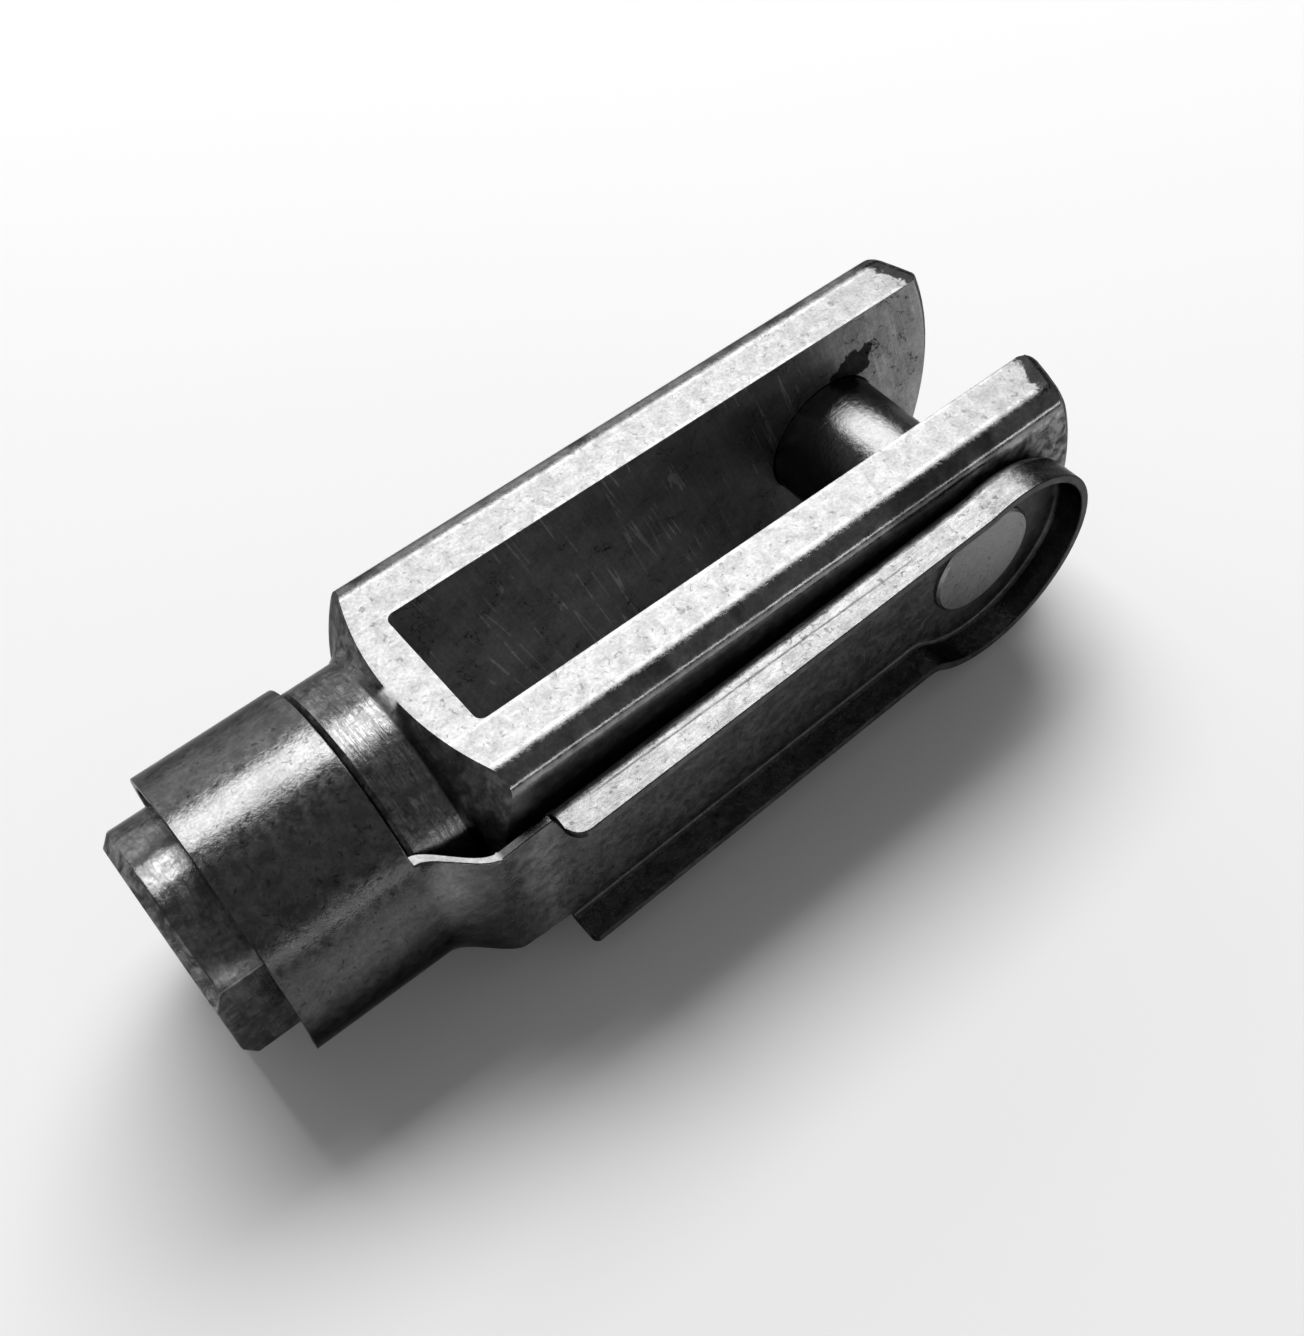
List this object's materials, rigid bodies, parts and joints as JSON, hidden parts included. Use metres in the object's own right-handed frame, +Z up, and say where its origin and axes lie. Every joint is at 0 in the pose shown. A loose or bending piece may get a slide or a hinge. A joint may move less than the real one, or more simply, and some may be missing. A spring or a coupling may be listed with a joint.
{
  "type": "fork end with spring clip pin",
  "caption": "Square fork end for a threaded tension rod, with a cross pin riveted to a folding sheet spring clip that snaps round the neck.",
  "frame": {"origin": "middle of the cross pin's axis, half way between the two legs", "axes": "+X towards the fork's open tips, -X out of the threaded neck, Y along the pin with the clip on the -Y side, +Z up out of the slot"},
  "size_m": [0.0699, 0.0252, 0.0202],
  "materials": {
    "fork_steel": "thin bright zinc over milled and turned steel",
    "clip_steel": "bright zinc over spring steel sheet",
    "pin_steel": "bright zinc over turned steel"
  },
  "bodies": {
    "fork": {"clevis_fork": "fork_steel"},
    "clip": {"spring_clip": "clip_steel", "clevis_pin": "pin_steel"}
  },
  "joints": [
    {"name": "clip_swing", "type": "hinge", "parent": "fork", "child": "clip", "pos_m": [0, 0, 0], "axis": [0, 1, 0], "range_deg": [0, 330]}
  ]
}
